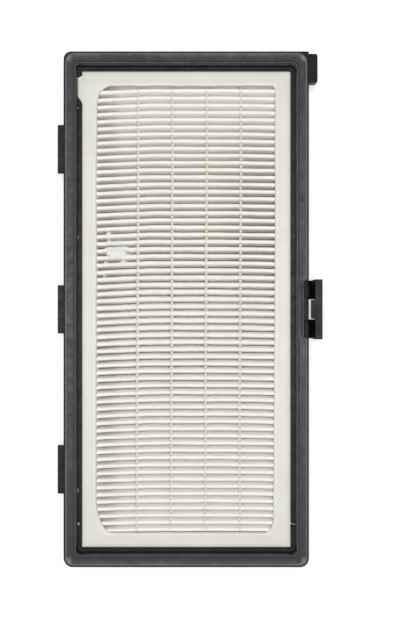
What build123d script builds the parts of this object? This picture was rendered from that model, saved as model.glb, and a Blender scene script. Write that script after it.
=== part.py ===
from build123d import *
import math
import os

# Clip-in exhaust filter cassette, lying on its back. X is across, Y is along, +Z points out of the
# pleated front. The origin is the centre of the frame on the back face. All sizes are in millimetres.

# Moulded frame
frame_width = 107.0
frame_length = 225.0
frame_depth = 30.0
rim_width = 5.5
tub_wall = 1.9
rim_wall = 1.5
rim_plate = 3.0
skirt_bottom = 18.0
reveal_width = 0.75
reveal_drop = 0.8
ledge_plate = 2.0
frame_corner_radii = {"top_left": 3.3, "top_right": 0.6, "bottom_right": 3.8, "bottom_left": 4.0}
opening_corner_radii = {"top_left": 0.9, "top_right": 2.4, "bottom_right": 1.8, "bottom_left": 1.6}
tub_corner_radius = 2.4
cavity_corner_radius = 0.5

# Grid across the back, moulded with the frame
grid_depth = 3.0
grid_border = 8.0
grid_rib_width = 1.8
grid_long_ribs = 3
grid_cross_ribs = 9

# Pleated medium
pleat_depth = 18.0
pleat_pitch = 3.18
medium_thickness = 0.55
fold_inside_half_width = 0.4
crown_flat_half_width = 0.45
crown_rise = 0.4

# Poured sealant round the pack
side_band = 6.7
end_band = 4.9
sealant_above_tips = 1.8
ledge_above_tips = 1.0
sealant_shoulder = 0.75
window_corner_radii = {"top_left": 3.5, "top_right": 1.7, "bottom_right": 4.5, "bottom_left": 8.7}
overflow_length = 9.0
overflow_top = 102.4
overflow_height = 0.7

# Hot-melt separator beads, four columns on each side of the pack
bead_width = 1.4
bead_film = 0.25
bead_tooth_depth = 9.0
bead_spacing = 15.2
bead_group_offset = 1.5
beads_per_side = 4

# Gasket on top of the rim
gasket_height = 3.5
gasket_corner_radii = {"top_left": 4.2, "top_right": 4.5, "bottom_right": 3.5, "bottom_left": 3.7}
gasket_dish_width = 3.2
gasket_dish_depth = 0.6
gasket_edge_bevel = 0.45
gasket_root_width = 1.6
gasket_root_depth = 1.5
gasket_root_inset = 1.2
gasket_clearance = 0.05

# Locating tabs on the left side
tab_length = 21.4
tab_reach = 3.5
tab_thickness = 2.5
tab_spacing = 71.0
tab_count = 3

# Corner lug, top right
lug_length = 12.7
lug_reach = 4.0
lug_height = 6.0
lug_top_drop = 3.0
lug_end_inset = 0.6
lug_wall = 0.9
lug_step_depth = 0.8
lug_pocket_depth = 2.5
lug_pocket_length = 3.4
lug_bar = 1.3
lug_corner_radius = 1.0

# Snap latch on the right side, one living spring with the frame
latch_width = 26.2
latch_gap = 2.9
leaf_thickness = 1.6
grip_thickness = 3.1
grip_height = 4.0
latch_top_drop = 1.0
web_thickness = 1.6
web_bottom = 4.2
bend_radius = 3.0
hook_width = 8.3
hook_gap = 1.1
hook_height = 4.5
window_side_gap = 0.4
window_reach = 3.5
notch_width = 24.6
notch_depth = 2.1

# How far pieces of one moulding run into each other
joint_overlap = 0.5

# Sizes that follow from the ones above
opening_width = frame_width - 2 * rim_width
opening_length = frame_length - 2 * rim_width
cavity_width = opening_width - 2 * tub_wall
cavity_length = opening_length - 2 * tub_wall
pack_width = cavity_width - 2 * side_band
pack_length = cavity_length - 2 * end_band
pack_bottom = grid_depth + bead_film
tip_height = pack_bottom + pleat_depth
ledge_height = tip_height + ledge_above_tips
sealant_top = tip_height + sealant_above_tips
rim_top = frame_depth - gasket_height
slit_count = round(pack_length / pleat_pitch)
pitch = pack_length / slit_count
window_length = pack_length - pitch
crown_half_width = fold_inside_half_width + medium_thickness


def rounded_rectangle(width, length, radii):
    """Rectangle about the origin with a radius of its own at each corner."""
    outline = Rectangle(width, length)
    for name, radius in radii.items():
        side = 1 if "right" in name else -1
        end = 1 if "top" in name else -1
        corner = Vector(side * width / 2, end * length / 2, 0)
        nearest = outline.vertices().sort_by_distance(corner)[0]
        outline = fillet(nearest, radius)
    return outline


def even_corners(radius):
    """The same radius at all four corners."""
    return {name: radius for name in frame_corner_radii}


def slab(outline, bottom, top):
    """Outline raised from one height to another."""
    return extrude(Pos(0, 0, bottom) * outline, amount=top - bottom)


def block(x_low, x_high, y_low, y_high, z_low, z_high):
    """Box given by its limits."""
    centre = ((x_low + x_high) / 2, (y_low + y_high) / 2, (z_low + z_high) / 2)
    return Pos(*centre) * Box(x_high - x_low, y_high - y_low, z_high - z_low)


def rim():
    """Thin-walled rim: skirt outside, plate under the gasket, riser inside and a lip round the gasket."""
    outer = rounded_rectangle(frame_width, frame_length, frame_corner_radii)
    under_skirt = rounded_rectangle(
        frame_width - 2 * rim_wall, frame_length - 2 * rim_wall, even_corners(tub_corner_radius)
    )
    riser = rounded_rectangle(
        opening_width + 2 * rim_wall, opening_length + 2 * rim_wall, even_corners(tub_corner_radius)
    )
    opening = rounded_rectangle(opening_width, opening_length, opening_corner_radii)
    gasket_seat = gasket_outline()
    lip_top = frame_depth - reveal_drop
    body = slab(outer, skirt_bottom, lip_top)
    body -= slab(gasket_seat, rim_top, lip_top)
    body -= slab(under_skirt - riser, skirt_bottom, rim_top - rim_plate)
    body -= slab(riser, skirt_bottom, ledge_height - ledge_plate)
    body -= slab(opening, ledge_height - ledge_plate, rim_top)
    return body


def gasket_outline():
    """Outer edge of the gasket, inside the reveal of the rim."""
    return rounded_rectangle(
        frame_width - 2 * reveal_width, frame_length - 2 * reveal_width, gasket_corner_radii
    )


def root_ring(clearance):
    """Ring for the gasket's root, or for the groove that takes it."""
    inset = gasket_root_inset - clearance
    width = gasket_root_width + 2 * clearance
    inner = rounded_rectangle(
        opening_width + 2 * inset, opening_length + 2 * inset, even_corners(tub_corner_radius)
    )
    outer = rounded_rectangle(
        opening_width + 2 * inset + 2 * width,
        opening_length + 2 * inset + 2 * width,
        even_corners(tub_corner_radius + width),
    )
    return outer - inner


def tub():
    """Walls round the pack and the ledge at their top."""
    outer = rounded_rectangle(opening_width, opening_length, even_corners(tub_corner_radius))
    ledge = rounded_rectangle(
        opening_width + rim_wall, opening_length + rim_wall, even_corners(tub_corner_radius)
    )
    cavity = rounded_rectangle(cavity_width, cavity_length, even_corners(cavity_corner_radius))
    body = slab(outer, 0, ledge_height)
    body += slab(ledge, ledge_height - ledge_plate, ledge_height)
    body -= slab(cavity, grid_depth, ledge_height)
    return body


def grid_windows():
    """Openings between the ribs of the back grid."""
    columns = grid_long_ribs + 1
    rows = grid_cross_ribs + 1
    width = opening_width - 2 * grid_border
    length = opening_length - 2 * grid_border
    cell_width = (width - grid_long_ribs * grid_rib_width) / columns
    cell_length = (length - grid_cross_ribs * grid_rib_width) / rows
    places = GridLocations(cell_width + grid_rib_width, cell_length + grid_rib_width, columns, rows)
    return [place * Pos(0, 0, grid_depth / 2) * Box(cell_width, cell_length, grid_depth) for place in places]


def tabs():
    """Locating tabs that stand out of the left side of the skirt."""
    root = -frame_width / 2 + joint_overlap
    tip = -frame_width / 2 - tab_reach
    first = -(tab_count - 1) / 2 * tab_spacing
    pieces = []
    for index in range(tab_count):
        middle = first + index * tab_spacing
        tab = block(tip, root, middle - tab_length / 2, middle + tab_length / 2, 0, tab_thickness)
        pieces.append(Pos(0, 0, skirt_bottom) * tab)
    return pieces


def lug():
    """Hollow-topped lug at the top right corner."""
    root = frame_width / 2 - joint_overlap
    tip = frame_width / 2 + lug_reach
    high_end = frame_length / 2 - lug_end_inset
    low_end = high_end - lug_length
    top = frame_depth - lug_top_drop
    body = block(root, tip, low_end, high_end, top - lug_height, top)
    outer_edges = body.edges().filter_by(Axis.Z).group_by(Axis.X)[-1]
    body = fillet(outer_edges, lug_corner_radius)
    inner_side = frame_width / 2 + lug_wall
    inner_tip = tip - lug_wall
    pocket_low = low_end + lug_bar
    pocket_high = pocket_low + lug_pocket_length
    body -= block(inner_side, inner_tip, pocket_low, pocket_high, top - lug_pocket_depth, top)
    body -= block(inner_side, inner_tip, pocket_high, high_end - lug_wall, top - lug_step_depth, top)
    return body


def latch():
    """Snap latch: a web from the tub turns up into a leaf with a hook and a finger grip."""
    root = opening_width / 2 - joint_overlap
    leaf_inside = frame_width / 2 + latch_gap
    leaf_outside = leaf_inside + leaf_thickness
    grip_outside = leaf_inside + grip_thickness
    web_top = web_bottom + web_thickness
    top = frame_depth - latch_top_drop
    section = Polyline(
        (root, web_bottom),
        (leaf_outside, web_bottom),
        (leaf_outside, top - grip_height),
        (grip_outside, top - grip_height + leaf_thickness),
        (grip_outside, top),
        (leaf_inside, top),
        (leaf_inside, web_top),
        (root, web_top),
        close=True,
    )
    face = make_face(section)
    outer_bend = face.vertices().sort_by_distance(Vector(leaf_outside, web_bottom, 0))[0]
    face = fillet(outer_bend, bend_radius)
    inner_bend = face.vertices().sort_by_distance(Vector(leaf_inside, web_top, 0))[0]
    face = fillet(inner_bend, bend_radius - leaf_thickness)
    body = extrude(Plane.XZ * face, amount=latch_width / 2, both=True)
    hook_tip = frame_width / 2 + hook_gap
    hook_section = make_face(
        Polyline(
            (leaf_inside + joint_overlap, top - hook_height),
            (leaf_inside, top - hook_height),
            (hook_tip, top - hook_height / 2),
            (hook_tip, top),
            (leaf_inside + joint_overlap, top),
            close=True,
        )
    )
    half_window = hook_width / 2 + window_side_gap
    body -= block(
        leaf_inside - window_reach,
        leaf_outside,
        -half_window,
        half_window,
        web_bottom,
        top - hook_height,
    )
    body += extrude(Plane.XZ * hook_section, amount=hook_width / 2, both=True)
    return body


def latch_notches():
    """Cuts in the rim on both sides of the hook, so that the leaf can flex inwards."""
    keeper = hook_width / 2 + window_side_gap
    inside = frame_width / 2 - notch_depth
    outside = frame_width / 2
    cuts = []
    for side in (-1, 1):
        ends = sorted((side * keeper, side * notch_width / 2))
        cuts.append(block(inside, outside, ends[0], ends[1], skirt_bottom, frame_depth))
    return cuts


def make_frame():
    """Frame with its tub, rim, back grid, tabs, lug and latch, one moulding."""
    body = rim() + tub()
    body -= slab(root_ring(gasket_clearance), rim_top - gasket_root_depth - gasket_clearance, rim_top)
    body -= grid_windows()
    body += tabs()
    body -= latch_notches()
    body += latch()
    body += lug()
    return body


def make_gasket():
    """Soft gasket with a dished top, bevelled edges and a root in the groove of the rim."""
    outline = gasket_outline()
    opening = rounded_rectangle(opening_width, opening_length, opening_corner_radii)
    body = slab(outline - opening, rim_top, frame_depth)
    body = chamfer(body.edges().group_by(Axis.Z)[-1], gasket_edge_bevel)
    body -= gasket_dish()
    notch_side = frame_width / 2 - notch_depth
    body -= block(
        notch_side, frame_width / 2, -notch_width / 2, notch_width / 2, rim_top, frame_depth
    )
    body += slab(root_ring(0), rim_top - gasket_root_depth, rim_top)
    return body


def gasket_dish():
    """Shallow trough along the middle of the gasket's top."""
    gasket_width = rim_width - reveal_width
    width = opening_width + gasket_width
    length = opening_length + gasket_width
    path = rounded_rectangle(width, length, even_corners(tub_corner_radius)).wire()
    half = gasket_dish_width / 2
    start = path @ 0
    profile_plane = Plane(origin=start, x_dir=(0, 0, 1), z_dir=path % 0)
    arc = ThreePointArc((0, -half), (-gasket_dish_depth, 0), (0, half))
    face = make_face(arc + Line((0, half), (0, -half)))
    trough = sweep(profile_plane * face, path=path, transition=Transition.ROUND)
    return Pos(0, 0, frame_depth) * trough


def slit_place(index):
    """Middle of one front slit, which is also the middle of one rear fold."""
    return -pack_length / 2 + (index + 0.5) * pitch


def make_medium():
    """Pleated sheet of even thickness: nearly parallel walls between broad folds with bevelled crowns."""
    half = pack_length / 2
    inner_fold = pleat_depth - medium_thickness
    shoulder = pleat_depth - crown_rise
    front = [(-half, pleat_depth)]
    back = [(-half, inner_fold), (-half + fold_inside_half_width, inner_fold)]
    for index in range(slit_count):
        middle = slit_place(index)
        low_tip = middle - pitch / 2
        high_tip = middle + pitch / 2
        front.append((low_tip + crown_flat_half_width, pleat_depth))
        front.append((low_tip + crown_half_width, shoulder))
        front.append((middle - fold_inside_half_width, medium_thickness))
        front.append((middle + fold_inside_half_width, medium_thickness))
        front.append((high_tip - crown_half_width, shoulder))
        front.append((high_tip - crown_flat_half_width, pleat_depth))
        back.append((middle - crown_half_width, crown_rise))
        back.append((middle - crown_flat_half_width, 0))
        back.append((middle + crown_flat_half_width, 0))
        back.append((middle + crown_half_width, crown_rise))
        back.append((high_tip - fold_inside_half_width, inner_fold))
        back.append((high_tip + fold_inside_half_width, inner_fold))
    front.append((half, pleat_depth))
    back[-1] = (half, inner_fold)
    section = make_face(Polyline(*front, *reversed(back), close=True))
    body = extrude(Plane.YZ * section, amount=pack_width / 2, both=True)
    return Pos(0, 0, pack_bottom) * body


def make_sealant():
    """Ring of poured sealant between the pack and the tub, with a lip round the front window."""
    outline = rounded_rectangle(cavity_width, cavity_length, even_corners(cavity_corner_radius))
    body = slab(outline, grid_depth, sealant_top)
    body = fillet(body.edges().group_by(Axis.Z)[-1], sealant_shoulder)
    half = pack_length / 2
    foot = half - pitch / 2 + crown_half_width
    inner = pleat_depth - medium_thickness
    section = make_face(
        Polyline(
            (-half, pleat_depth),
            (-half, inner),
            (-half + fold_inside_half_width, inner),
            (-foot, crown_rise),
            (-foot, -bead_film),
            (foot, -bead_film),
            (foot, crown_rise),
            (half - fold_inside_half_width, inner),
            (half, inner),
            (half, pleat_depth),
            close=True,
        )
    )
    body -= Pos(0, 0, pack_bottom) * extrude(Plane.YZ * section, amount=pack_width / 2, both=True)
    window = rounded_rectangle(pack_width, window_length, window_corner_radii)
    body -= slab(window, tip_height, sealant_top)
    left = -opening_width / 2
    overflow = block(
        left,
        left + tub_wall + sealant_shoulder,
        overflow_top - overflow_length,
        overflow_top,
        ledge_height,
        ledge_height + overflow_height,
    )
    ends = overflow.edges().filter_by(Axis.Z).group_by(Axis.X)[0]
    body += fillet(ends, sealant_shoulder)
    return body


def tooth_half_width():
    """Half the width of a tooth level with the tips, so that it touches the shoulders of both crowns."""
    return (pitch / 2 - crown_half_width) / (1 - crown_rise / bead_tooth_depth)


def bead_comb(x, half_length, tooth_middles):
    """Teeth that run into the mouths of the slits, joined by a thin film over the tips."""
    top = pleat_depth
    reach = tooth_half_width()
    points = [(-half_length, top + bead_film), (-half_length, top)]
    for middle in tooth_middles:
        points.append((middle - reach, top))
        points.append((middle, top - bead_tooth_depth))
        points.append((middle + reach, top))
    points.append((half_length, top))
    points.append((half_length, top + bead_film))
    section = make_face(Polyline(*points, close=True))
    body = extrude(Plane.YZ * section, amount=bead_width / 2, both=True)
    return Pos(x, 0, pack_bottom) * body


def make_front_bead(x):
    """Hot-melt bead on the front of the pack, which the lip of the sealant covers at both ends."""
    return bead_comb(x, window_length / 2, [slit_place(index) for index in range(slit_count)])


def make_rear_bead(x):
    """The same bead on the back of the pack, where its teeth point forwards."""
    middles = [slit_place(index) + pitch / 2 for index in range(slit_count - 1)]
    comb = bead_comb(-x, window_length / 2, middles)
    return Pos(0, 0, 2 * pack_bottom + pleat_depth) * Rot(0, 180, 0) * comb


def bead_place(index):
    """Distance of one column of beads from the middle."""
    return bead_group_offset + (index - (beads_per_side - 1) / 2) * bead_spacing


parts = {
    "frame": make_frame(),
    "gasket": make_gasket(),
    "media_pack": make_medium(),
    "potting": make_sealant(),
}
for number in range(beads_per_side):
    parts[f"separator_bead_front_{number + 1}"] = make_front_bead(bead_place(number))
    parts[f"separator_bead_rear_{number + 1}"] = make_rear_bead(bead_place(number))

os.makedirs("parts", exist_ok=True)
for name, shape in parts.items():
    export_step(shape, f"parts/{name}.step")
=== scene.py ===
import math

import bpy
import numpy as np
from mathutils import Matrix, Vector, noise


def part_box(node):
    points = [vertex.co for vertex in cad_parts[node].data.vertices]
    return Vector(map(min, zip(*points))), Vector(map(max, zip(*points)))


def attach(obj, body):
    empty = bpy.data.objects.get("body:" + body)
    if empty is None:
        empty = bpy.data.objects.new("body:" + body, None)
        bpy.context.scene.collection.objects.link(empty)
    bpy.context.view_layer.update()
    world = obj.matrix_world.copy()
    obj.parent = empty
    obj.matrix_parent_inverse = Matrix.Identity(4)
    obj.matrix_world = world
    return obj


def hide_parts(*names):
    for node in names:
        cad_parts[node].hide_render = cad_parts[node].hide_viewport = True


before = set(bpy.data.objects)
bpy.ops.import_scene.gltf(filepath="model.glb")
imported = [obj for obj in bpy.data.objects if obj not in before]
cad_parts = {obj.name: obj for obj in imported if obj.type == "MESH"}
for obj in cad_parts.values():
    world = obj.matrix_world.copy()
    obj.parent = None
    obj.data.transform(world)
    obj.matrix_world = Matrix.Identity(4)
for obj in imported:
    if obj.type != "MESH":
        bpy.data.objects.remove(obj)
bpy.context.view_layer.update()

# Lengths and places are in millimetres, unless a comment names another unit
MM = 0.001


def node_box(name):
    """Lowest and highest corner of a solid."""
    low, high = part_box(name)
    return np.array(low) / MM, np.array(high) / MM


GASKET_HIGH = node_box("gasket")[1]
PACK_LOW, PACK_HIGH = node_box("media_pack")
SEAL_LOW, SEAL_HIGH = node_box("potting")
GASKET_TOP = GASKET_HIGH[2]
SEAL_TOP = SEAL_HIGH[2]
TIP_HEIGHT = PACK_HIGH[2]
LEDGE_HEIGHT = 22.25
PACK_HALF_X = PACK_HIGH[0]
PACK_HALF_Y = PACK_HIGH[1]
PACK_DEPTH = PACK_HIGH[2] - PACK_LOW[2]

# Folds of the medium, as in its solid
SLITS = 63
PITCH = 2 * PACK_HALF_Y / SLITS
PAPER = 0.55
FOLD_INSIDE = 0.4
CROWN_HALF = FOLD_INSIDE + PAPER
WINDOW_HALF_Y = PACK_HALF_Y - PITCH / 2

# Photograph: its scale at the top of the gasket, its size, and two places in pixels.
# The foot is the pixel straight below the camera.
CAMERA_DISTANCE = 545.0
MM_PER_PIXEL = 0.4356
IMAGE_SIZE = (400, 622)
FRAME_CENTRE_PIXEL = (186.25, 309.3)
FOOT_PIXEL = (190.0, 311.0)


def photo_place(x_pixel, y_pixel, height):
    """Place of a pixel of the photograph, at a height above the floor."""
    growth = 1 + (GASKET_TOP - height) / CAMERA_DISTANCE
    foot_x = (FOOT_PIXEL[0] - FRAME_CENTRE_PIXEL[0]) * MM_PER_PIXEL
    foot_y = (FRAME_CENTRE_PIXEL[1] - FOOT_PIXEL[1]) * MM_PER_PIXEL
    x = foot_x + (x_pixel - FOOT_PIXEL[0]) * MM_PER_PIXEL * growth
    y = foot_y + (FOOT_PIXEL[1] - y_pixel) * MM_PER_PIXEL * growth
    return x, y


def smooth_step(low, high, value):
    """Smooth change from 0 at low to 1 at high, whichever of the two is larger."""
    share = min(1.0, max(0.0, (value - low) / (high - low)))
    return share * share * (3 - 2 * share)


def wave(x, y, seed):
    """Smooth noise between about -1 and 1. Each seed gives a pattern of its own."""
    return noise.noise(Vector((x + 17.3 * seed, y - 5.1 * seed, 3.7 * seed)))


# Mesh building
def mesh_object(name, vertices, faces, material, sharp_angle):
    """Object shaded smooth but for edges sharper than an angle in degrees."""
    mesh = bpy.data.meshes.new(name)
    mesh.from_pydata([tuple(float(c) * MM for c in v) for v in vertices], [], faces)
    mesh.validate()
    mesh.update()
    mesh.shade_smooth()
    mesh.set_sharp_from_angle(angle=math.radians(sharp_angle))
    mesh.materials.append(material)
    piece = bpy.data.objects.new(name, mesh)
    bpy.context.scene.collection.objects.link(piece)
    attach(piece, "root")
    return piece


def tube_surface(rings, closed):
    """Tube of quads through rings of equal length, closed to a loop or capped at both ends."""
    count = len(rings[0])
    vertices = [point for ring in rings for point in ring]
    faces = []
    for r in range(len(rings) if closed else len(rings) - 1):
        following = (r + 1) % len(rings)
        for i in range(count):
            j = (i + 1) % count
            faces.append((r * count + i, r * count + j, following * count + j, following * count + i))
    if not closed:
        faces.append(tuple(range(count))[::-1])
        faces.append(tuple((len(rings) - 1) * count + i for i in range(count)))
    return vertices, faces


def rounded_outline(half_x, half_y, corners, along_x=90, along_y=190, arc=10):
    """Closed anticlockwise outline with a number of steps along its sides and round its corners.

    Each corner, from the top right on, has one reach, or a reach across and a reach along.
    """
    sides = [(1, 1), (-1, 1), (-1, -1), (1, -1)]
    arcs = []
    for number, ((side_x, side_y), reach) in enumerate(zip(sides, corners)):
        reach = np.array(reach) * (1, 1)
        centre = np.array([side_x, side_y]) * (np.array([half_x, half_y]) - reach)
        turns = [math.radians(90 * number + 90 * i / arc) for i in range(arc + 1)]
        arcs.append([centre + reach * (math.cos(t), math.sin(t)) for t in turns])
    points = []
    for number in range(4):
        points += arcs[number]
        start = arcs[number][-1]
        end = arcs[(number + 1) % 4][0]
        steps = along_x if number % 2 == 0 else along_y
        points += [start + (end - start) * i / steps for i in range(1, steps)]
    return np.array(points)


# Materials. Noise scales are per metre, and distances of bumps are in metres.
# Noise lies mostly between these two values
NOISE_LOW = 0.3
NOISE_HIGH = 0.7


class Nodes:
    """Short way to build a node material."""

    def __init__(self, name):
        self.material = bpy.data.materials.new(name)
        self.material.use_nodes = True
        self.tree = self.material.node_tree
        self.shader = self.tree.nodes["Principled BSDF"]

    def node(self, kind, **values):
        """New node with values on its inputs or its settings."""
        made = self.tree.nodes.new(kind)
        for key, value in values.items():
            if key in made.inputs:
                made.inputs[key].default_value = value
            else:
                setattr(made, key, value)
        return made

    def link(self, source, target):
        """Link from an output to an input."""
        self.tree.links.new(source, target)

    def feed(self, name, source):
        """Link from an output to an input of the shader."""
        self.link(source, self.shader.inputs[name])

    def fix(self, name, value):
        """Constant on an input of the shader."""
        self.shader.inputs[name].default_value = value

    def place(self):
        """Object coordinates, in metres."""
        return self.node("ShaderNodeTexCoord").outputs["Object"]

    def axes(self):
        """Object coordinates one by one, in metres."""
        parts = self.node("ShaderNodeSeparateXYZ")
        self.link(self.place(), parts.inputs["Vector"])
        return [parts.outputs[axis] for axis in "XYZ"]

    def noise(self, scale, detail=3.0, roughness=0.55):
        """Noise fixed to the object."""
        made = self.node("ShaderNodeTexNoise", Scale=scale, Detail=detail, Roughness=roughness)
        self.link(self.place(), made.inputs["Vector"])
        return made.outputs["Fac"]

    def cloud(self, scale, detail, dark, light, low=NOISE_LOW, high=NOISE_HIGH):
        """Colour that drifts between two tones."""
        made = self.node("ShaderNodeValToRGB")
        for element, position, color in zip(made.color_ramp.elements, (low, high), (dark, light)):
            element.position = position
            element.color = (*color, 1.0)
        self.link(self.noise(scale, detail), made.inputs["Fac"])
        return made.outputs["Color"]

    def uneven_roughness(self, scale, low, high):
        """Roughness that drifts between two values."""
        self.feed("Roughness", self.range(self.noise(scale), NOISE_LOW, NOISE_HIGH, low, high))

    def mix(self, factor, first, second):
        """Mix by a factor of two colours, each of them a constant or an output."""
        made = self.node("ShaderNodeMix", data_type="RGBA")
        self.link(factor, made.inputs["Factor"])
        for color, socket in zip((first, second), [s for s in made.inputs if s.type == "RGBA"]):
            if isinstance(color, tuple):
                socket.default_value = (*color, 1.0)
            else:
                self.link(color, socket)
        return [s for s in made.outputs if s.type == "RGBA"][0]

    def range(self, source, low, high, to_low=0.0, to_high=1.0):
        """Straight change from to_low at low to to_high at high, steady beyond both."""
        ends = {"From Min": low, "From Max": high, "To Min": to_low, "To Max": to_high}
        made = self.node("ShaderNodeMapRange", **ends)
        self.link(source, made.inputs["Value"])
        return made.outputs["Result"]

    def range_mm(self, source, span, to_low=0.0, to_high=1.0):
        """The same over a span of places in millimetres."""
        return self.range(source, span[0] * MM, span[1] * MM, to_low, to_high)

    def math(self, operation, *sources):
        """Result of an operation on outputs."""
        made = self.node("ShaderNodeMath", operation=operation)
        for source, socket in zip(sources, made.inputs):
            self.link(source, socket)
        return made.outputs[0]

    def bump(self, layers):
        """Bumps, each from a height source, a strength and a distance."""
        normal = None
        for source, strength, distance in layers:
            made = self.node("ShaderNodeBump", Strength=strength, Distance=distance)
            self.link(source, made.inputs["Height"])
            if normal is not None:
                self.link(normal, made.inputs["Normal"])
            normal = made.outputs["Normal"]
        self.feed("Normal", normal)


def plastic_material():
    """Dark moulded plastic with a fine satin grain, faint flow marks and a little dust."""
    m = Nodes("moulded_plastic")
    cloud = m.cloud(60, 4, (0.005, 0.0048, 0.0045), (0.008, 0.0078, 0.0074))
    dust = m.range(m.noise(900, 2), 0.64, 0.78)
    m.feed("Base Color", m.mix(dust, cloud, (0.03, 0.028, 0.025)))
    m.uneven_roughness(250, 0.42, 0.55)
    m.fix("Specular IOR Level", 0.16)
    m.bump([(m.noise(3500, 2), 0.25, 0.00004), (m.noise(300, 2), 0.15, 0.0001)])
    return m.material


# Where the gasket is painted paler: heights of its lips, where the crests carry a painted highlight that is
# partly wear, and distances of its corners from the middle, where a painted highlight lies
LIP_HIGHLIGHT_HEIGHTS = (GASKET_TOP - 0.11, GASKET_TOP)
CORNER_HIGHLIGHT_X = (49.5, 51.2)
CORNER_HIGHLIGHT_Y = (107.5, 109.5)


def gasket_material():
    """Soft dark elastomer with a dull skin and a little dust, a painted highlight that is partly wear along
    its lip crests, and a painted highlight on its corners.
    """
    m = Nodes("gasket_elastomer")
    x, y, z = m.axes()
    cloud = m.cloud(140, 4, (0.0175, 0.017, 0.016), (0.0275, 0.0265, 0.0245))
    dust = m.range(m.noise(1300, 2), 0.62, 0.8)
    dusty = m.mix(dust, cloud, (0.055, 0.053, 0.05))
    # Painted highlight along the lip crests, partly wear: paler towards the top
    lip_highlit = m.mix(m.range_mm(z, LIP_HIGHLIGHT_HEIGHTS), dusty, (0.135, 0.132, 0.125))
    # Painted highlight on the corners, where the dish turns
    beside = m.range_mm(m.math("ABSOLUTE", x), CORNER_HIGHLIGHT_X)
    above = m.range_mm(m.math("ABSOLUTE", y), CORNER_HIGHLIGHT_Y)
    m.feed("Base Color", m.mix(m.math("MULTIPLY", beside, above), lip_highlit, (0.15, 0.147, 0.14)))
    m.uneven_roughness(320, 0.45, 0.6)
    m.fix("Specular IOR Level", 0.38)
    m.bump([(m.noise(1800, 3), 0.3, 0.00006), (m.noise(220, 3), 0.15, 0.0002)])
    return m.material


# Painted shade down in the slits: heights from full to none, the upper rows between a start and an end,
# more of it to the right there, and the left ends of all rows
SLIT_SHADE_HEIGHTS = (TIP_HEIGHT - 2.6, TIP_HEIGHT - 1.1)
SLIT_SHADE_UPPER_START = (0.0, 30.0)
SLIT_SHADE_UPPER_END = (60.0, 88.0)
SLIT_SHADE_TO_RIGHT = (12.0, 30.0)
SLIT_SHADE_LEFT_ENDS = (-36.0, -29.0)

# Pixel of the photograph where the paper is crushed, and how far round it the torn paper is painted darker,
# as painted shade of its rough surface
CRUSHED_CENTRE = (115.5, 252.0)
PATCH_SHADE_REACH = (3.0, 6.2)


def medium_material():
    """Glass-fibre filter paper: matt, off-white and felted, with painted shade down in the upper and left
    slits and over the torn patch.
    """
    m = Nodes("filter_paper")
    x, y, z = m.axes()
    cloud = m.cloud(90, 4, (0.965, 0.955, 0.9), (0.98, 0.972, 0.93))
    # Painted shade in the slits: darker with depth, over the upper rows and at the left ends
    depth = m.range_mm(z, SLIT_SHADE_HEIGHTS, 1.0, 0.0)
    upper = m.math("MULTIPLY", m.range_mm(y, SLIT_SHADE_UPPER_START), m.range_mm(y, SLIT_SHADE_UPPER_END, 1.0, 0.0))
    right = m.range_mm(x, SLIT_SHADE_TO_RIGHT, 0.4, 0.95)
    left = m.range_mm(x, SLIT_SHADE_LEFT_ENDS, 0.65, 0.0)
    slit_shade = m.math("MULTIPLY", m.math("ADD", m.math("MULTIPLY", upper, right), left), depth)
    # Painted shade over the torn patch, fading out round the crushed paper
    away = m.node("ShaderNodeVectorMath", operation="DISTANCE")
    m.link(m.place(), away.inputs[0])
    away.inputs[1].default_value = [c * MM for c in (*photo_place(*CRUSHED_CENTRE, TIP_HEIGHT), TIP_HEIGHT)]
    patch_shade = m.range_mm(away.outputs["Value"], PATCH_SHADE_REACH, 0.75, 0.0)
    m.feed("Base Color", m.mix(patch_shade, m.mix(slit_shade, cloud, (0.34, 0.325, 0.27)), (0.8, 0.8, 0.79)))
    m.fix("Roughness", 0.95)
    m.fix("Specular IOR Level", 0.2)
    m.fix("Sheen Weight", 0.8)
    m.fix("Sheen Roughness", 0.5)
    m.fix("Sheen Tint", (1.0, 0.98, 0.84, 1.0))
    m.bump([(m.noise(2600, 4, 0.7), 0.4, 0.00008), (m.noise(420, 2), 0.2, 0.0002)])
    return m.material


def sealant_material():
    """Poured sealant: smooth, cream, a little glossy, with faint flow marks."""
    m = Nodes("poured_sealant")
    m.feed("Base Color", m.cloud(45, 4, (0.765, 0.752, 0.67), (0.815, 0.805, 0.728)))
    m.uneven_roughness(160, 0.42, 0.58)
    m.bump([(m.noise(130, 3), 0.25, 0.0004), (m.noise(1500, 2), 0.15, 0.00005)])
    return m.material


# Heights between which the glue thins to a film
FILM_HEIGHTS = (TIP_HEIGHT - 0.5, TIP_HEIGHT - 0.1)


def bead_material():
    """Hot-melt glue: waxy and pale yellow, paler where it is a thin film over the tips."""
    m = Nodes("hot_melt_glue")
    cloud = m.cloud(400, 3, (0.67, 0.67, 0.53), (0.77, 0.77, 0.64))
    film = m.range_mm(m.axes()[2], FILM_HEIGHTS)
    m.feed("Base Color", m.mix(film, cloud, (0.87, 0.868, 0.78)))
    m.fix("Roughness", 0.45)
    m.bump([(m.noise(900, 3), 0.3, 0.0001)])
    return m.material


def dust_material():
    """Grey crumbs of sealant and dust."""
    m = Nodes("dust_crumbs")
    m.feed("Base Color", m.cloud(1500, 3, (0.16, 0.155, 0.145), (0.4, 0.39, 0.36), low=0.35))
    m.fix("Roughness", 0.9)
    m.bump([(m.noise(3000, 2), 0.5, 0.0001)])
    return m.material


PLASTIC = plastic_material()
ELASTOMER = gasket_material()
PAPER_LOOK = medium_material()
SEALANT = sealant_material()
GLUE = bead_material()
DUST = dust_material()


# Frame
EDGE_ROUNDING = 0.2


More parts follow.
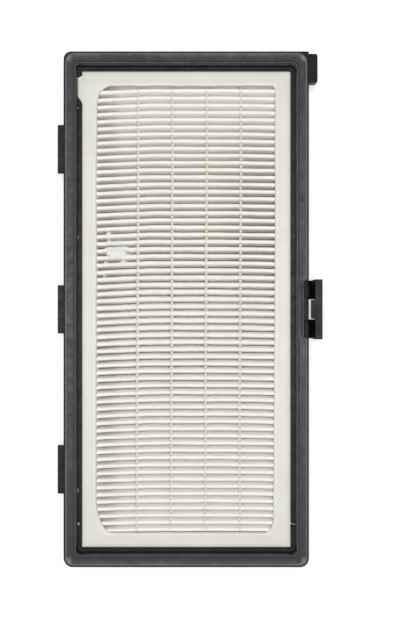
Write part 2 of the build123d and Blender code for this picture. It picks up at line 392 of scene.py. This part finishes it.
def dress_frame():
    """The moulded frame keeps the form of its solid, with softly broken edges."""
    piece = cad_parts["frame"]
    piece.data.materials.clear()
    piece.data.materials.append(PLASTIC)
    weld = piece.modifiers.new("join_faces", "WELD")
    weld.merge_threshold = 0.001 * MM
    bevel = piece.modifiers.new("soft_edges", "BEVEL")
    bevel.width = EDGE_ROUNDING * MM
    bevel.segments = 2
    bevel.limit_method = "ANGLE"
    bevel.angle_limit = math.radians(40)
    bevel.harden_normals = True


# Gasket: its width, the reach of its corners from the top right on, and its section as the share
# of the way from the opening outwards and the depth below the top
GASKET_WIDTH = 4.75
GASKET_OUTER_CORNERS = (4.5, 4.2, 3.7, 3.5)
GASKET_INNER_CORNERS = (2.4, 1.2, 1.6, 1.8)
GASKET_SECTION = (
    (0.0, 3.5), (0.0, 0.75), (0.008, 0.5), (0.025, 0.28), (0.05, 0.11), (0.085, 0.05), (0.13, 0.05),
    (0.18, 0.12), (0.23, 0.18), (0.3, 0.2), (0.45, 0.205), (0.6, 0.2), (0.72, 0.19), (0.8, 0.14),
    (0.85, 0.05), (0.89, 0.005), (0.95, 0.0), (0.99, 0.05), (1.025, 0.18), (1.04, 0.4), (1.03, 0.7),
    (0.99, 0.9), (0.99, 3.5), (0.5, 3.5),
)
GASKET_SAG = 0.014

# Beside the latch the gasket is cut back, and its outer lip is lower
LATCH_CUT = 1.35
LATCH_CUT_HALF = 12.3
LATCH_LIP_LOSS = 0.35


def make_gasket():
    """Soft ring with a dish between two rounded lips, cut back beside the latch."""
    half_x, half_y = GASKET_HIGH[:2]
    outer = rounded_outline(half_x, half_y, GASKET_OUTER_CORNERS)
    inner = rounded_outline(half_x - GASKET_WIDTH, half_y - GASKET_WIDTH, GASKET_INNER_CORNERS)
    beside_latch = (outer[:, 0] > half_x - 0.01) & (np.abs(outer[:, 1]) < LATCH_CUT_HALF)
    outer[beside_latch, 0] -= LATCH_CUT
    rings = []
    for share, drop in GASKET_SECTION:
        is_top = drop < 1
        ring = []
        for (x0, y0), (x1, y1), cut in zip(inner, outer, beside_latch):
            x = x0 + (x1 - x0) * share
            y = y0 + (y1 - y0) * share
            sag = GASKET_SAG * (1 + wave(x / 9, y / 9, 0)) if is_top else 0.0
            lip_loss = LATCH_LIP_LOSS * smooth_step(0.6, 0.9, share) if cut and is_top else 0.0
            ring.append((x, y, GASKET_TOP - drop - sag - lip_loss))
        rings.append(ring)
    vertices, faces = tube_surface(rings, closed=True)
    piece = mesh_object("gasket_ring", vertices, faces, ELASTOMER, 60)
    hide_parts("gasket")


# Poured sealant: how it ran over the ledge at the top left, from one span along Y to the other
OVERFLOW_REACH = 1.85
OVERFLOW_START = (90.6, 94.6)
OVERFLOW_END = (102.4, 102.9)

# How far it bulges on the left, just inside its outer edge
LEFT_BULGE = 0.35

# Reaches across and along of the window's corners, from the top right on
WINDOW_CORNERS = ((1.7, 2.2), (6.2, 7.6), (7.0, 15.5), (4.0, 6.5))

# The window's right side lies further in, and leans further in over a span along Y.
# Its left side lies further out, and leans in over a span of its own.
WINDOW_RIGHT_IN = 0.3
WINDOW_RIGHT_LEAN = 0.8
WINDOW_RIGHT_SPAN = (40.0, -90.0)
WINDOW_LEFT_OUT = 0.25
WINDOW_LEFT_LEAN = 0.4
WINDOW_LEFT_SPAN = (62.0, 85.0)

# Corners that are as good as sharp, and those of the cavity's wall
SHARP_CORNERS = (0.05, 0.05, 0.05, 0.05)
CAVITY_CORNERS = (0.5, 0.5, 0.5, 0.5)

# Section of the top, as the share of the way outwards and the depth below the highest point
SEALANT_SECTION = (
    (0.0, 0.75), (0.015, 0.4), (0.06, 0.15), (0.13, 0.05), (0.24, 0.12), (0.4, 0.2), (0.58, 0.22),
    (0.74, 0.26), (0.87, 0.34), (0.94, 0.48), (0.98, 0.72), (1.0, 1.0),
)


def overflow(y):
    """How far the sealant ran over the ledge at the top left, as a share of the ledge."""
    return smooth_step(*OVERFLOW_START, y) * (1 - smooth_step(*OVERFLOW_END, y))


def sealant_outline(half_x, half_y, corners):
    """Outline of the sealant, finer along its long sides."""
    return rounded_outline(half_x, half_y, corners, along_y=380)


def sealant_window():
    """Edge of the opening over the pleats, a little uneven on its long sides."""
    window = sealant_outline(PACK_HALF_X, WINDOW_HALF_Y, WINDOW_CORNERS)
    for point in window:
        if point[0] > 0:
            point[0] -= WINDOW_RIGHT_IN + WINDOW_RIGHT_LEAN * smooth_step(*WINDOW_RIGHT_SPAN, point[1])
        else:
            point[0] += WINDOW_LEFT_LEAN * smooth_step(*WINDOW_LEFT_SPAN, point[1]) - WINDOW_LEFT_OUT
    return window


def sealant_top_ring(window, outer, share, height):
    """Ring on the top, a share of the way from the window to the outer edge."""
    spill_reach = smooth_step(0.55, 0.9, share)
    ring = []
    for (x0, y0), (x1, y1) in zip(window, outer):
        x = x0 + (x1 - x0) * share
        y = y0 + (y1 - y0) * share
        edge = 0.16 * wave(x / 7, y / 7, 1) + 0.07 * wave(x / 2, y / 2, 2)
        edge *= 1 - smooth_step(0.8, 1.0, share)
        on_long_side = abs(x1) > SEAL_HIGH[0] - 0.6
        if on_long_side:
            x += edge * (1 if x > 0 else -1)
        else:
            y += edge * (1 if y > 0 else -1)
        spill = 0.0
        if on_long_side and x < 0:
            spill = overflow(y)
            x -= LEFT_BULGE * smooth_step(0.6, 0.95, share) * smooth_step(0.99, 0.9, share)
        x -= OVERFLOW_REACH * spill * spill_reach
        lift = 0.09 * wave(x / 11, y / 11, 3) - 0.05
        lifted = height + lift + spill * spill_reach * 0.3 * (SEAL_TOP - 0.3 - height)
        ring.append((x, y, min(lifted, SEAL_TOP)))
    return ring


def flat_ring(outline, height):
    """Ring of an outline at one height."""
    return [(x, y, height) for x, y in outline]


def make_sealant():
    """Ring of poured sealant with a rounded outer shoulder and a lip round the window."""
    outer = sealant_outline(SEAL_HIGH[0], SEAL_HIGH[1], CAVITY_CORNERS)
    window = sealant_window()
    shaft = sealant_outline(PACK_HALF_X, PACK_HALF_Y, SHARP_CORNERS)
    foot = sealant_outline(PACK_HALF_X, PACK_HALF_Y - PITCH / 2 + CROWN_HALF, SHARP_CORNERS)
    rings = [flat_ring(foot, SEAL_LOW[2]), flat_ring(shaft, TIP_HEIGHT - 0.6)]
    rings.append(sealant_top_ring(window, outer, 0.0, TIP_HEIGHT - 0.2))
    for share, drop in SEALANT_SECTION:
        rings.append(sealant_top_ring(window, outer, share, SEAL_TOP - drop))
    seated = []
    for x, y, z in rings[-1]:
        spilled = x < -SEAL_HIGH[0] - 0.05
        seated.append((x, y, LEDGE_HEIGHT + 0.02 if spilled else z - 0.2))
    rings += [seated, flat_ring(outer, LEDGE_HEIGHT - 0.6), flat_ring(outer, SEAL_LOW[2])]
    vertices, faces = tube_surface(rings, closed=True)
    piece = mesh_object("sealant_ring", vertices, faces, SEALANT, 60)
    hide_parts("potting")


# Pleated medium: lumps of crushed paper in the slits, each with its pixel in the photograph,
# its half size across and along, and how far it fills the slit
CRUSHED_SPOTS = (
    (116.6, 253.8, 5.6, 1.2, 1.0),
    (113.5, 247.4, 4.2, 0.6, 0.8),
    (116.5, 240.7, 3.6, 0.5, 0.6),
    (108.4, 240.0, 1.0, 0.95, 0.9),
    (108.4, 233.4, 1.15, 0.95, 0.95),
    (122.6, 261.4, 1.3, 0.8, 0.9),
    (105.0, 262.6, 0.45, 0.9, 1.0),
    (104.2, 276.4, 0.5, 0.9, 0.95),
)

# Torn fibres: the pixel of their middle, and the half size of the patch across and along
RUFFLED_PATCH = (112.5, 250.0, 8.5, 6.5)

# The crushed row that bulges upwards: its pixel, its half size in pixels, and how far it bulges
PUSHED_ROW = (116.0, 249.4, 12.5, 4.2, 0.65)

# All rows lie a little low. They droop further to both sides from this far off the middle,
# by these lengths one span further out.
DROOP_OF_ALL = 0.2
DROOP_FROM = 14.0
DROOP_SPAN = 24.0
DROOP_LEFT = 1.0
DROOP_RIGHT = 0.3

# Towards the low end the droop is less, and the rows as a whole lie lower
DROOP_LESS = 0.45
DROOP_LESS_SPAN = (-55.0, -95.0)
LOW_END_SHIFT = 0.35
LOW_END_SPAN = (-20.0, -95.0)

# The crowns of the folds, down to this depth, are narrower by a share at the left ends of the rows,
# and at the right ends of the upper rows, so that the slits gape there
CROWN_DEPTH = 8
GAPE = 0.07
GAPE_LEFT = (-25.0, -34.0)
GAPE_RIGHT = (12.0, 30.0)
GAPE_UPPER_START = (-30.0, 5.0)
GAPE_UPPER_END = (62.0, 88.0)

# Columns across the pack: close together over the crushed paper, and wider apart to its right
CRUSHED_COLUMNS = np.linspace(-38.0, -24.0, 33)
OTHER_COLUMNS = np.linspace(-22.8, PACK_HALF_X + 0.4, 37)

# Half of a fold's front face, as the way from the tip's middle and the depth below the tip
FRONT_HALF_SECTION = (
    (0.0, 0.0), (0.36, 0.06), (0.64, 0.25), (0.84, 0.7), (0.95, 1.6), (1.27, 7.5),
    (PITCH / 2 - 0.12, PACK_DEPTH - PAPER - 3.0),
)


def row_shift(x, y):
    """How far the rows lie from their even place, along Y."""
    left = max(0.0, (-DROOP_FROM - x) / DROOP_SPAN)
    right = max(0.0, (x - DROOP_FROM) / DROOP_SPAN)
    down = 1.0 - DROOP_LESS * smooth_step(*DROOP_LESS_SPAN, y)
    droop = -DROOP_OF_ALL - (DROOP_LEFT * left**1.3 + DROOP_RIGHT * right**1.5) * down
    row = round(y / PITCH)
    ripple = 0.13 * wave(x / 13, row * 0.37, 4) + 0.08 * wave(x / 5, row * 0.9, 5)
    low_end = -LOW_END_SHIFT * smooth_step(*LOW_END_SPAN, y)
    ends = smooth_step(0.0, 3.5, PACK_HALF_Y - abs(y))
    return (droop + ripple + low_end) * ends


def crush(x, y):
    """How far the slit is filled at this place, from 0 to 1."""
    filled = 0.0
    for x_pixel, y_pixel, half_x, half_y, strength in CRUSHED_SPOTS:
        spot_x, spot_y = photo_place(x_pixel, y_pixel, TIP_HEIGHT)
        away = math.hypot((x - spot_x) / half_x, (y - spot_y) / half_y)
        away += 0.25 * wave(x / 1.3, y / 1.3, 6)
        filled = max(filled, strength * (1 - smooth_step(0.75, 1.15, away)))
    return filled


def push(x, y):
    """How far the crushed row bulges into the slit above it, along Y."""
    x_pixel, y_pixel, half_x, half_y, reach = PUSHED_ROW
    spot_x, spot_y = photo_place(x_pixel, y_pixel, TIP_HEIGHT)
    beside = abs(x - spot_x) / (half_x * MM_PER_PIXEL)
    above = abs(y - spot_y) / (half_y * MM_PER_PIXEL)
    return reach * (1 - smooth_step(0.75, 1.1, beside)) * (1 - smooth_step(0.5, 1.0, above))


def crown_width(x, y):
    """Width of the crowns here, as a share of their full width."""
    upper = smooth_step(*GAPE_UPPER_START, y) * (1 - smooth_step(*GAPE_UPPER_END, y))
    return 1.0 - GAPE * smooth_step(*GAPE_LEFT, x) - GAPE * upper * smooth_step(*GAPE_RIGHT, x)


def ruffle(x, y):
    """Depth of the torn fibres in the crushed patch."""
    x_pixel, y_pixel, half_x, half_y = RUFFLED_PATCH
    spot_x, spot_y = photo_place(x_pixel, y_pixel, TIP_HEIGHT)
    away = math.hypot((x - spot_x) / half_x, (y - spot_y) / half_y)
    strength = 1 - smooth_step(0.5, 1.0, away)
    if strength == 0:
        return 0.0
    return strength * (0.14 + 0.16 * wave(x / 0.8, y / 0.7, 11) + 0.1 * wave(x / 2.2, y / 1.6, 12))


def front_section():
    """Front face over one pitch, from the top of one tip to the top of the next."""
    middle = (PITCH / 2, PACK_DEPTH - PAPER)
    mirrored = [(PITCH - across, drop) for across, drop in reversed(FRONT_HALF_SECTION[1:])]
    return [*FRONT_HALF_SECTION, middle, *mirrored]


def rear_section():
    """Rear face over one pitch, with its fold in the middle."""
    return [
        (0.0, PAPER),
        (FOLD_INSIDE, PAPER + 0.4),
        (PITCH / 2 - CROWN_HALF, PACK_DEPTH - 0.8),
        (PITCH / 2 - 0.5, PACK_DEPTH - 0.04),
        (PITCH / 2 + 0.5, PACK_DEPTH - 0.04),
        (PITCH / 2 + CROWN_HALF, PACK_DEPTH - 0.8),
        (PITCH - FOLD_INSIDE, PAPER + 0.4),
    ]


def pleat_profile():
    """Closed outline of the folded sheet: along the front and back along the rear."""
    front = []
    rear = []
    for index in range(SLITS):
        start = -PACK_HALF_Y + index * PITCH
        front += [(start, across, drop, True) for across, drop in front_section()]
        rear += [(start, across, drop, False) for across, drop in rear_section()]
    front.append((PACK_HALF_Y, 0.0, 0.0, True))
    rear.append((PACK_HALF_Y, 0.0, PAPER, False))
    return front + rear[::-1]


def make_medium():
    """Folded filter paper, with its rows drooping to the left and a crushed patch."""
    profile = pleat_profile()
    columns = [-PACK_HALF_X - 0.6, *CRUSHED_COLUMNS, *OTHER_COLUMNS]
    vertices = []
    for x in columns:
        for row, across, drop, is_front in profile:
            if is_front and drop < CROWN_DEPTH:
                width = crown_width(x, row)
                across = across * width if across < PITCH / 2 else PITCH - (PITCH - across) * width
            y = row + across
            shift = row_shift(x, y)
            depth = drop
            if is_front:
                shift += push(x, y + shift)
                filled = crush(x, y + shift)
                if filled > 0:
                    level = 0.2 + 0.25 * (1 + wave(x / 0.9, y / 0.9, 7))
                    depth = drop + (level - drop) * filled
                depth += 0.06 * (1 + wave(x / 6, y / PITCH, 8)) * (1 - drop / PACK_DEPTH)
                if drop < 1.0 or filled > 0:
                    depth += ruffle(x, y)
            vertices.append((x, y + shift, TIP_HEIGHT - depth))
    count = len(profile)
    faces = []
    for c in range(len(columns) - 1):
        for i in range(count):
            j = (i + 1) % count
            faces.append((c * count + i, (c + 1) * count + i, (c + 1) * count + j, c * count + j))
    piece = mesh_object("filter_paper", vertices, faces, PAPER_LOOK, 70)
    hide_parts("media_pack")


# Hot-melt beads: section over one pitch, as the place and the depths of its top and its bottom
SLIT_HALF = PITCH / 2 - CROWN_HALF
BEAD_SECTION = (
    (0.0, -0.08, 0.1),
    (0.55, 0.04, 0.3),
    (CROWN_HALF - 0.15, 0.5, 0.9),
    (PITCH / 2 - SLIT_HALF, 1.3, 4.0),
    (PITCH / 2, 1.6, 9.0),
    (PITCH / 2 + SLIT_HALF, 1.3, 4.0),
    (PITCH - CROWN_HALF + 0.15, 0.5, 0.9),
    (PITCH - 0.55, 0.04, 0.3),
)

# Across a bead: the share of its half width, and how far the glue has run to the right there
BEAD_ACROSS = ((-1.0, 0.0), (-0.8, 0.0), (-0.4, 0.0), (0.0, 0.0), (0.4, 0.1), (0.8, 0.5), (1.0, 1.0))


# The beads wander a little, and lie off their solids by a shift and by a lean over a span along Y
BEAD_WANDER = 0.16
BEAD_SHIFT = 0.2
BEAD_LEAN = 0.55
BEAD_LEAN_SPAN = (90.0, -60.0)


def bead_stations(is_front):
    """Places along a bead, each with the depths of its top and its bottom."""
    first = 0 if is_front else 0.5
    limit = WINDOW_HALF_Y + 0.2
    stations = []
    for index in range(SLITS if is_front else SLITS - 1):
        for across, top, bottom in BEAD_SECTION:
            y = -PACK_HALF_Y + (index + first) * PITCH + across
            if abs(y) <= limit:
                stations.append((y, top, bottom))
    return stations


def make_bead(node, number, is_front):
    """One column of glue that fills the slits and runs thinly over the tips."""
    low, high = node_box(node)
    middle = (low[0] + high[0]) / 2
    half = (high[0] - low[0]) / 2
    rings = []
    for y, top, bottom in bead_stations(is_front):
        offset = BEAD_WANDER * wave(number * 3.1, y / 4, 9) - BEAD_SHIFT
        offset -= BEAD_LEAN * smooth_step(*BEAD_LEAN_SPAN, y)
        swell = 0.98 - 0.08 * (1 + wave(number * 5.3, y / 2.2, 10))
        in_slit = smooth_step(0.3, 0.9, top)
        upper = []
        lower = []
        for share, run in BEAD_ACROSS:
            x = middle + offset + half * swell * share * (1.1 - 0.45 * in_slit) + 0.6 * run * in_slit
            shift = row_shift(x, y)
            edge = abs(share) ** 3 * (0.16 + 0.14 * in_slit) + 0.5 * run * in_slit
            over = min(bottom - 0.05, top + edge)
            if is_front:
                upper.append((x, y + shift, PACK_HIGH[2] - over))
                lower.append((x, y + shift, PACK_HIGH[2] - bottom))
            else:
                upper.append((x, y + shift, PACK_LOW[2] + over))
                lower.append((x, y + shift, PACK_LOW[2] + bottom))
        rings.append(upper + lower[::-1])
    vertices, faces = tube_surface(rings, closed=False)
    side = "front" if is_front else "rear"
    piece = mesh_object(f"glue_bead_{side}_{number}", vertices, faces, GLUE, 60)
    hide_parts(node)


# Specks of dust on the ledge: the pixel of each in the photograph, and its half width
SPECK_HEIGHT = 22.3
SPECKS = (
    (77.6, 238.0, 0.42), (78.1, 236.6, 0.25), (77.5, 355.0, 0.3), (77.5, 490.0, 0.5),
    (77.9, 492.0, 0.3), (78.5, 524.0, 0.55), (299.0, 439.0, 0.3), (78.0, 108.0, 0.35),
    (115.0, 553.0, 0.3), (118.5, 553.6, 0.22), (122.0, 553.2, 0.18), (294.0, 236.0, 0.22),
)
SPECK_ROWS = 7
SPECK_COLUMNS = 12

# String of glue: the pixels of its ends, its steps along and around, and half its thickness
STRING_START = (288.5, 523.2)
STRING_END = (298.5, 524.8)
STRING_STEPS = 12
STRING_SIDES = 8
STRING_HALF = 0.11


def make_speck(number, centre, size):
    """Small uneven lump."""
    vertices = []
    for r in range(SPECK_ROWS + 1):
        lean = math.pi * r / SPECK_ROWS
        for a in range(SPECK_COLUMNS):
            turn = 2 * math.pi * a / SPECK_COLUMNS
            level = math.sin(lean)
            direction = Vector((level * math.cos(turn), level * math.sin(turn), math.cos(lean)))
            reach = 1 + 0.45 * noise.noise(direction * 1.7 + Vector((number * 5.3, 0, 0)))
            vertices.append([centre[i] + size[i] * reach * direction[i] for i in range(3)])
    faces = []
    for r in range(SPECK_ROWS):
        start = r * SPECK_COLUMNS
        following = start + SPECK_COLUMNS
        for a in range(SPECK_COLUMNS):
            b = (a + 1) % SPECK_COLUMNS
            faces.append((start + a, following + a, following + b, start + b))
    mesh_object(f"speck_{number}", vertices, faces, DUST, 80)


def make_string():
    """Thin string of glue from the sealant down across the ledge."""
    start = photo_place(*STRING_START, SEAL_TOP)
    end = photo_place(*STRING_END, LEDGE_HEIGHT)
    turns = [2 * math.pi * a / STRING_SIDES for a in range(STRING_SIDES)]
    rings = []
    for step in range(STRING_STEPS + 1):
        share = step / STRING_STEPS
        x = start[0] + (end[0] - start[0]) * share
        y = start[1] + (end[1] - start[1]) * share + 0.12 * math.sin(share * 7)
        z = SEAL_TOP - 0.25 + (LEDGE_HEIGHT + 0.1 - SEAL_TOP + 0.25) * share
        thick = STRING_HALF + 0.05 * wave(share * 4, 0, 13)
        rings.append([(x, y + thick * math.cos(t), z + thick * math.sin(t)) for t in turns])
    vertices, faces = tube_surface(rings, closed=False)
    mesh_object("glue_string", vertices, faces, GLUE, 80)


def make_specks():
    """Dust and glue that fell into the groove."""
    for number, (x_pixel, y_pixel, size) in enumerate(SPECKS):
        x, y = photo_place(x_pixel, y_pixel, SPECK_HEIGHT)
        make_speck(number, (x, y, SPECK_HEIGHT + size * 0.2), (size, size * 1.3, size * 0.4))
    make_string()


# Camera, floor and light
def make_camera():
    """Camera straight above, at the distance that gives the photograph's frame."""
    camera_data = bpy.data.cameras.new("camera")
    camera = bpy.data.objects.new("camera", camera_data)
    bpy.context.scene.collection.objects.link(camera)
    foot_x, foot_y = photo_place(*FOOT_PIXEL, GASKET_TOP)
    camera.location = (foot_x * MM, foot_y * MM, (GASKET_TOP + CAMERA_DISTANCE) * MM)
    frame_height = IMAGE_SIZE[1] * MM_PER_PIXEL
    camera_data.sensor_fit = "AUTO"
    camera_data.sensor_width = 36.0
    camera_data.lens = camera_data.sensor_width * CAMERA_DISTANCE / frame_height
    camera_data.shift_x = (IMAGE_SIZE[0] / 2 - FOOT_PIXEL[0]) / IMAGE_SIZE[1]
    camera_data.shift_y = -(IMAGE_SIZE[1] / 2 - FOOT_PIXEL[1]) / IMAGE_SIZE[1]
    camera_data.clip_start = 0.01
    camera_data.clip_end = 20.0
    bpy.context.scene.camera = camera


# Floor: half its length in metres, its height, and how much it glows for the camera
FLOOR_HALF = 3.0
FLOOR_HEIGHT = -0.1
FLOOR_GLOW = 0.45


def make_floor():
    """White floor that keeps the object's shadow and is clear from below."""
    mesh = bpy.data.meshes.new("floor")
    low = FLOOR_HEIGHT * MM
    corners = [(x * FLOOR_HALF, y * FLOOR_HALF, low) for x, y in ((-1, -1), (1, -1), (1, 1), (-1, 1))]
    mesh.from_pydata(corners, [], [(0, 1, 2, 3)])
    floor = bpy.data.objects.new("floor", mesh)
    bpy.context.scene.collection.objects.link(floor)
    m = Nodes("white_floor")
    m.fix("Base Color", (0.8, 0.8, 0.8, 1))
    m.fix("Roughness", 0.9)
    glow = m.node("ShaderNodeEmission")
    path = m.node("ShaderNodeLightPath")
    strength = m.node("ShaderNodeMath", operation="MULTIPLY")
    strength.inputs[1].default_value = FLOOR_GLOW
    seen = m.math("MAXIMUM", path.outputs["Is Camera Ray"], path.outputs["Is Glossy Ray"])
    m.link(seen, strength.inputs[0])
    m.link(strength.outputs[0], glow.inputs["Strength"])
    total = m.node("ShaderNodeAddShader")
    m.link(m.shader.outputs[0], total.inputs[0])
    m.link(glow.outputs[0], total.inputs[1])
    side = m.node("ShaderNodeNewGeometry")
    from_below = m.node("ShaderNodeMixShader")
    m.link(side.outputs["Backfacing"], from_below.inputs[0])
    m.link(total.outputs[0], from_below.inputs[1])
    m.link(m.node("ShaderNodeBsdfTransparent").outputs[0], from_below.inputs[2])
    m.link(from_below.outputs[0], m.tree.nodes["Material Output"].inputs["Surface"])
    mesh.materials.append(m.material)


# Lamp: place and aim in metres, side in metres, power in watts
LAMP_PLACE = (0.0, 0.008, 0.74)
LAMP_AIM = (0.0, 0.008, 0.0)
LAMP_SIDE = 0.17
LAMP_POWER = 4.1
ROOM_BRIGHTNESS = 0.2


def make_light():
    """Even studio light: a bright room and a soft square lamp overhead."""
    world = bpy.data.worlds.new("studio")
    bpy.context.scene.world = world
    world.use_nodes = True
    world.node_tree.nodes["Background"].inputs["Color"].default_value = (1, 1, 1, 1)
    world.node_tree.nodes["Background"].inputs["Strength"].default_value = ROOM_BRIGHTNESS
    data = bpy.data.lights.new("overhead", "AREA")
    data.shape = "SQUARE"
    data.size = LAMP_SIDE
    data.energy = LAMP_POWER
    lamp = bpy.data.objects.new("overhead", data)
    lamp.location = LAMP_PLACE
    direction = Vector(LAMP_AIM) - Vector(LAMP_PLACE)
    lamp.rotation_euler = direction.to_track_quat("-Z", "Y").to_euler()
    bpy.context.scene.collection.objects.link(lamp)


dress_frame()
make_gasket()
make_sealant()
make_medium()
for bead_number in range(1, 5):
    make_bead(f"separator_bead_front_{bead_number}", bead_number, True)
    make_bead(f"separator_bead_rear_{bead_number}", bead_number, False)
make_specks()
make_floor()
make_light()
make_camera()
bpy.context.scene.view_settings.view_transform = "Standard"
